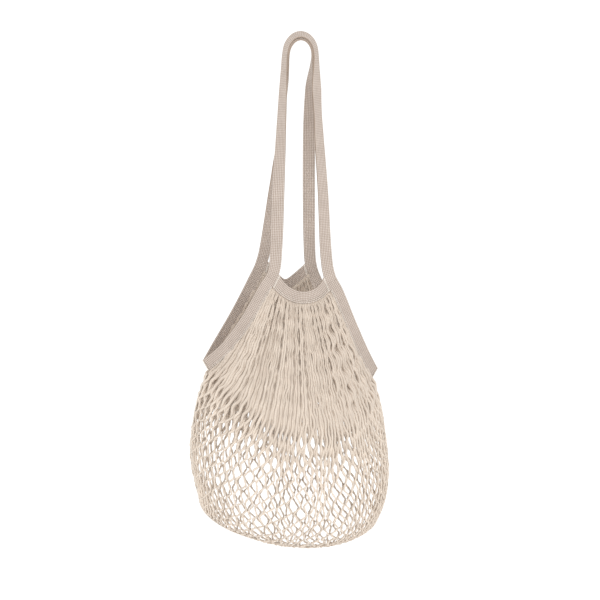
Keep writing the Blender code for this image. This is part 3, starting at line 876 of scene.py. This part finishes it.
def rim_seam(bundle, line, normal, beside):
    """Two wavy ridges of thread on each face of the tape, where a rim's end is sewn to the handle tape."""
    wave = np.sin(np.linspace(0, 2 * math.pi * SEAM_WAVES, len(line)))[:, None] * SEAM_WAVE
    for facing in (-1, 1):
        out = np.repeat(normal[None, :] * facing, len(line), axis=0)
        for shift in (-1, 1):
            ridge = line + out * (TAPE_HALF_THICKNESS + STITCH_LIFT) + beside * shift + out * wave * shift
            # Painted shade on the flanks of each ridge.
            bundle.add(ridge, out, SEAM_RADIUS, 8, turn=2 * MM, flat=0.8, groove=1.0)


def rim_piece(face, word, material, thread):
    """A rim band, its stitching and its two end seams."""
    share = np.linspace(-RIM_OVERRUN, RIM_OVERRUN, RIM_ROWS)
    top = settle(rim_point(face, share, "top"))
    foot = settle(rim_point(face, share, "foot"))
    centre = (top + foot) / 2
    across = (top - foot) / 2
    runs = runs_of(centre)
    normals = unit(np.cross(across, runs))
    normals *= np.sign(np.sum(normals * np.array([0.0, face, 0.0]), axis=1, keepdims=True))
    band = tape_piece(f"{word}_rim", centre, across, normals, lengths_along(centre), 40 + face, material)
    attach(band, "bag")
    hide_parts(f"{word}_rim_band")

    bundle = Bundle()
    for share_up in RIM_STITCH_SHARES:
        line = foot + (top - foot) * share_up + normals * (TAPE_HALF_THICKNESS + STITCH_LIFT)
        stitch_row(bundle, line[3:-3], normals[3:-3])
    sewing = bundle.piece(f"{word}_rim_stitches", thread)
    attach(sewing, "bag")
    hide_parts(f"{word}_rim_stitching")

    for hand, end in (("left", SEAM_ROW), ("right", -1 - SEAM_ROW)):
        bundle = Bundle()
        rim_seam(bundle, np.linspace(foot[end], top[end], 40), normals[end], unit(runs[end]) * SEAM_BESIDE)
        piece = bundle.piece(f"{word}_rim_seam_{hand}", thread)
        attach(piece, "bag")
        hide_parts(f"rim_seam_{word}_{hand}")


def mitre(points, runs, stop):
    """Points slid along the runs onto the plane y = stop."""
    return points + runs * ((stop - points[:, 1:2]) / runs[:, 1:2])


def cut_on_middle_plane(centre, across, runs, face):
    """A tape's middle line and half widths, with its first end cut where it meets the other side tape."""
    edges = {}
    for sign in (-1, 1):
        edge = centre + across * sign
        over = face * edge[:, 1] < TAPE_END_GAP
        over[0] = True
        edge[over] = mitre(edge[over], runs[over], face * TAPE_END_GAP)
        edges[sign] = edge
    return (edges[-1] + edges[1]) / 2, (edges[1] - edges[-1]) / 2


def side_tape_piece(face, word, side, hand, path, material, thread):
    """A side tape from the low point up to the joint below the hinge, and its stitching."""
    reach = (path.hinges[0] if side < 0 else path.end - path.hinges[1]) - BLEND_BELOW
    where = np.linspace(0, reach, int(reach / TAPE_STEP))
    if side > 0:
        where = path.end - where
    centre, runs, normals = path.read(where)
    across = np.cross(runs, normals) * TAPE_WIDTH / 2
    if side > 0:
        across = -across
    centre, across = cut_on_middle_plane(centre, across, runs, face)
    name = f"{word}_side_{hand}"
    tape = tape_piece(name, centre, across, normals, where, 60 + 3 * face + side, material)
    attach(tape, "bag")
    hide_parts(f"side_tape_{word}_{hand}")

    bundle = Bundle()
    inner = -1 if (across[len(across) // 2] @ np.array([side, 0, 0.6])) > 0 else 1
    for share in SIDE_STITCH_SHARES:
        line = centre + across * inner * share + normals * (TAPE_HALF_THICKNESS + STITCH_LIFT)
        stitch_row(bundle, line[10:-12], normals[10:-12])
    sewing = bundle.piece(f"{name}_stitches", thread)
    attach(sewing, "bag")
    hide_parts(f"side_tape_{word}_{hand}_stitching")


def handle_piece(face, word, path, material):
    """A handle's strap, which runs from the bag over the hinge to the handle."""
    start, end = path.hinges[0] - BLEND_BELOW, path.hinges[1] + BLEND_BELOW
    where = np.linspace(start, end, int((end - start) / HANDLE_STEP))
    centre, runs, normals = path.read(where)
    across = np.cross(runs, normals) * TAPE_WIDTH / 2
    tape = tape_piece(f"{word}_strap", centre, across, normals, where, 80 + face, material)
    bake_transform(tape)
    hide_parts(f"{word}_handle")


def overlock(name, node, line, out, thread):
    """A bound edge: a core with thread looped over it."""
    bundle = Bundle()
    bundle.add(line, out, CORE_RADIUS, 10, turn=4 * MM)
    reach = lengths_along(line)
    steps = np.arange(0, reach[-1] - COIL_PITCH, COIL_PITCH / COIL_SAMPLES)
    centre = sample(line, reach, steps)
    normal = unit(sample(out, reach, steps))
    run = unit(sample(runs_of(line), reach, steps))
    normal = unit(normal - run * np.sum(normal * run, axis=1, keepdims=True))
    other = np.cross(run, normal)
    turn = 2 * math.pi * steps / COIL_PITCH
    coil = centre + (normal * np.cos(turn)[:, None] + other * np.sin(turn)[:, None]) * COIL_RADIUS
    bundle.add(coil, run, COIL_THREAD, 5, turn=1.2 * MM)
    piece = bundle.piece(name, thread)
    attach(piece, "bag")
    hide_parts(node)


def seam_pieces(panels, thread):
    """The overlocked edges that join the two panels at the sides and the bottom."""
    for side, hand in ((-1, "left"), (1, "right")):
        v = np.linspace(GATHER_END + 0.015, 0.995, 260)
        t = np.full_like(v, side)
        line = (panels[-1].point(v, t) + panels[1].point(v, t)) / 2
        out = np.cross(runs_of(line), PLUS_Y) * -side
        out *= np.sign(out[:, :1]) * side
        overlock(f"{hand}_side_seam", f"side_seam_{hand}", line + out * SEAM_OUT, out, thread)
    t = np.linspace(-0.995, 0.995, 420)
    v = np.ones_like(t)
    line = (panels[-1].point(v, t) + panels[1].point(v, t)) / 2
    out = np.cross(runs_of(line), PLUS_Y)
    out *= -np.sign(out[:, 2:])
    overlock("foot_seam", "bottom_seam", line + out * SEAM_OUT, out, thread)


def join_pieces(paths, thread):
    """The stitched ridge where the front and back side tapes meet."""
    for side, hand in ((-1, "left"), (1, "right")):
        centre, run, normal = paths[-1].read(np.array([0.0 if side < 0 else paths[-1].end]))
        width = np.cross(run, normal)[0]
        width *= np.sign(width[0]) * side
        ends = centre[0] + np.outer([-1, 1], width) * TAPE_WIDTH * JOIN_REACH
        ends = mitre(ends, np.repeat(run, 2, axis=0), 0.0)
        line = np.linspace(ends[0], ends[1], 30)
        out = np.repeat(unit(np.array([[side, 0.0, -0.25]])), len(line), axis=0)
        bundle = Bundle()
        bundle.add(line + out * JOIN_LIFT, out, JOIN_RADIUS, 8, turn=2 * MM)
        dip = out[:BAR_SAMPLES] * (np.linspace(-1, 1, BAR_SAMPLES)[:, None] ** 2) * BAR_DIP
        for share in np.linspace(0.08, 0.92, BARS):
            spot = ends[0] + (ends[1] - ends[0]) * share + out[0] * BAR_LIFT
            bar = np.linspace(spot - PLUS_Y * BAR_HALF, spot + PLUS_Y * BAR_HALF, BAR_SAMPLES)
            bundle.add(bar - dip, out[:BAR_SAMPLES], BAR_RADIUS, 6, turn=1.2 * MM)
        piece = bundle.piece(f"{hand}_tape_join", thread)
        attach(piece, "bag")
        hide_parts(f"tape_join_{hand}")


# --- studio ---

CAMERA_AZIMUTH = math.radians(-18.5)
CAMERA_ELEVATION = math.radians(12.0)
CAMERA_ROLL = math.radians(1.5)
CAMERA_DISTANCE = 2.492
CAMERA_LENS = 115.0
LOOK_BELOW_HOOK = 0.345
LOOK_RIGHT, LOOK_UP = 9.1 * MM, 8.7 * MM
FLOOR_DROP = 0.24               # floor below the lowest point of the bag
FLOOR_RADIUS = 14.0
FLOOR_CORNERS = 64
# Lights: place from the bag's middle, size, power.
LIGHTS = {
    "key": ((-0.9, -1.9, 1.3), 1.3, 17.0),
    "fill": ((1.6, -1.4, 0.3), 1.6, 4.0),
}
WORLD_STRENGTH = 1.1


def camera():
    back = Vector((math.sin(CAMERA_AZIMUTH) * math.cos(CAMERA_ELEVATION),
                   -math.cos(CAMERA_AZIMUTH) * math.cos(CAMERA_ELEVATION), math.sin(CAMERA_ELEVATION)))
    right = (-back).cross(Vector((0, 0, 1))).normalized()
    up = right.cross(-back)
    tilt_right = right * math.cos(CAMERA_ROLL) + up * math.sin(CAMERA_ROLL)
    tilt_up = up * math.cos(CAMERA_ROLL) - right * math.sin(CAMERA_ROLL)
    target = HOOK - Vector((0, 0, LOOK_BELOW_HOOK)) + tilt_right * LOOK_RIGHT + tilt_up * LOOK_UP
    data = bpy.data.cameras.new("camera")
    data.lens = CAMERA_LENS
    data.sensor_width = 36.0
    thing = bpy.data.objects.new("camera", data)
    turn = Matrix((tilt_right, tilt_up, back)).transposed().to_4x4()
    thing.matrix_world = Matrix.Translation(target + back * CAMERA_DISTANCE) @ turn
    bpy.context.scene.collection.objects.link(thing)
    bpy.context.scene.camera = thing


def area_light(name, place, aim, size, power):
    data = bpy.data.lights.new(name, "AREA")
    data.shape = "DISK"
    data.size = size
    data.energy = power
    thing = bpy.data.objects.new(name, data)
    thing.location = place
    thing.rotation_euler = (Vector(aim) - Vector(place)).to_track_quat("-Z", "Y").to_euler()
    bpy.context.scene.collection.objects.link(thing)


def studio():
    scene = bpy.context.scene
    low, high = cad_box
    middle = (Vector(low) + Vector(high)) / 2
    floor_z = low[2] - FLOOR_DROP
    angles = np.linspace(0, 2 * math.pi, FLOOR_CORNERS, endpoint=False)
    x, y = np.cos(angles) * FLOOR_RADIUS, np.sin(angles) * FLOOR_RADIUS
    ring = np.stack([x, y, np.full(FLOOR_CORNERS, floor_z)], axis=-1)
    floor = make_piece("floor", ring, [list(range(FLOOR_CORNERS))], floor_paper())
    for name, (place, size, power) in LIGHTS.items():
        area_light(name, middle + Vector(place), middle, size, power)
    world = bpy.data.worlds.new("studio")
    world.use_nodes = True
    background = world.node_tree.nodes["Background"]
    set_inputs(background, {"Color": (1.0, 1.0, 1.0, 1.0), "Strength": WORLD_STRENGTH})
    scene.world = world
    scene.view_settings.view_transform = "Standard"


# --- build ---

def main():
    camera()
    tape = cotton("knit_tape", TAPE_COTTON, knit_relief, 0.25 * MM, 0.95)
    cord = cotton("net_cord", CORD_COTTON, ply_relief, 0.22 * MM, 0.65)
    thread = cotton("sewing_thread", THREAD_COTTON, ply_relief, 0.10 * MM, 0.3)
    paths = {face: TapePath(face) for face in (-1, 1)}
    panels = {face: NetPanel(face) for face in (-1, 1)}
    for face, word in ((-1, "front"), (1, "back")):
        rim_piece(face, word, tape, thread)
        handle_piece(face, word, paths[face], tape)
        for side, hand in ((-1, "left"), (1, "right")):
            side_tape_piece(face, word, side, hand, paths[face], tape, thread)
        net_piece(face, word, panels[face], cord)
    seam_pieces(panels, thread)
    join_pieces(paths, thread)
    studio()


main()
